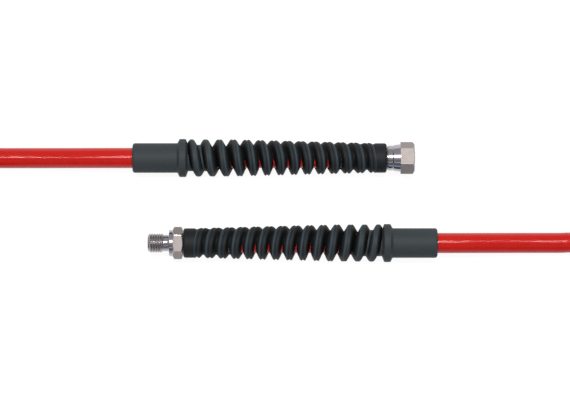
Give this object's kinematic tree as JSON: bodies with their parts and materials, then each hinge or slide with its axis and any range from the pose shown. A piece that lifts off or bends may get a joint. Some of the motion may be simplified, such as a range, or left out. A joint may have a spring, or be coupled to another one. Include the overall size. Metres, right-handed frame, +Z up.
{
  "type": "pressure washer hose",
  "caption": "Red high-pressure hose with a ribbed black anti-kink sleeve at each end, a swivel nut on one end and an outside thread on the other.",
  "frame": {"origin": "on the floor, midway between the two hose ends, which lie side by side", "axes": "+X along both ends, towards the swivel nut; +Y from the male end to the female end; +Z up"},
  "size_m": [0.6321, 0.1927, 0.0576],
  "materials": {
    "hose_rubber": "glossy moulded red rubber cover with a faint wrapped texture",
    "sleeve_rubber": "matte black moulded rubber",
    "plated_steel": "bright zinc plated steel with satin flats",
    "ferrule_steel": "satin plated steel",
    "tie_fabric": "matte hook and loop tape"
  },
  "bodies": {
    "hose": {"bend_sleeve_female_end": "sleeve_rubber", "bend_sleeve_male_end": "sleeve_rubber", "ferrule_female_end": "ferrule_steel", "ferrule_male_end": "ferrule_steel", "stem_female_end": "plated_steel", "male_fitting": "plated_steel", "hose_lead": "hose_rubber", "hose_coil": "hose_rubber", "hose_return": "hose_rubber", "tie_strap_1": "tie_fabric", "tie_strap_2": "tie_fabric"},
    "nut": {"swivel_nut": "plated_steel"}
  },
  "joints": [
    {"name": "nut_swivel", "type": "hinge", "parent": "hose", "child": "nut", "pos_m": [0.0727, 0.0287, 0.01285], "axis": [1, 0, 0], "continuous": true}
  ]
}
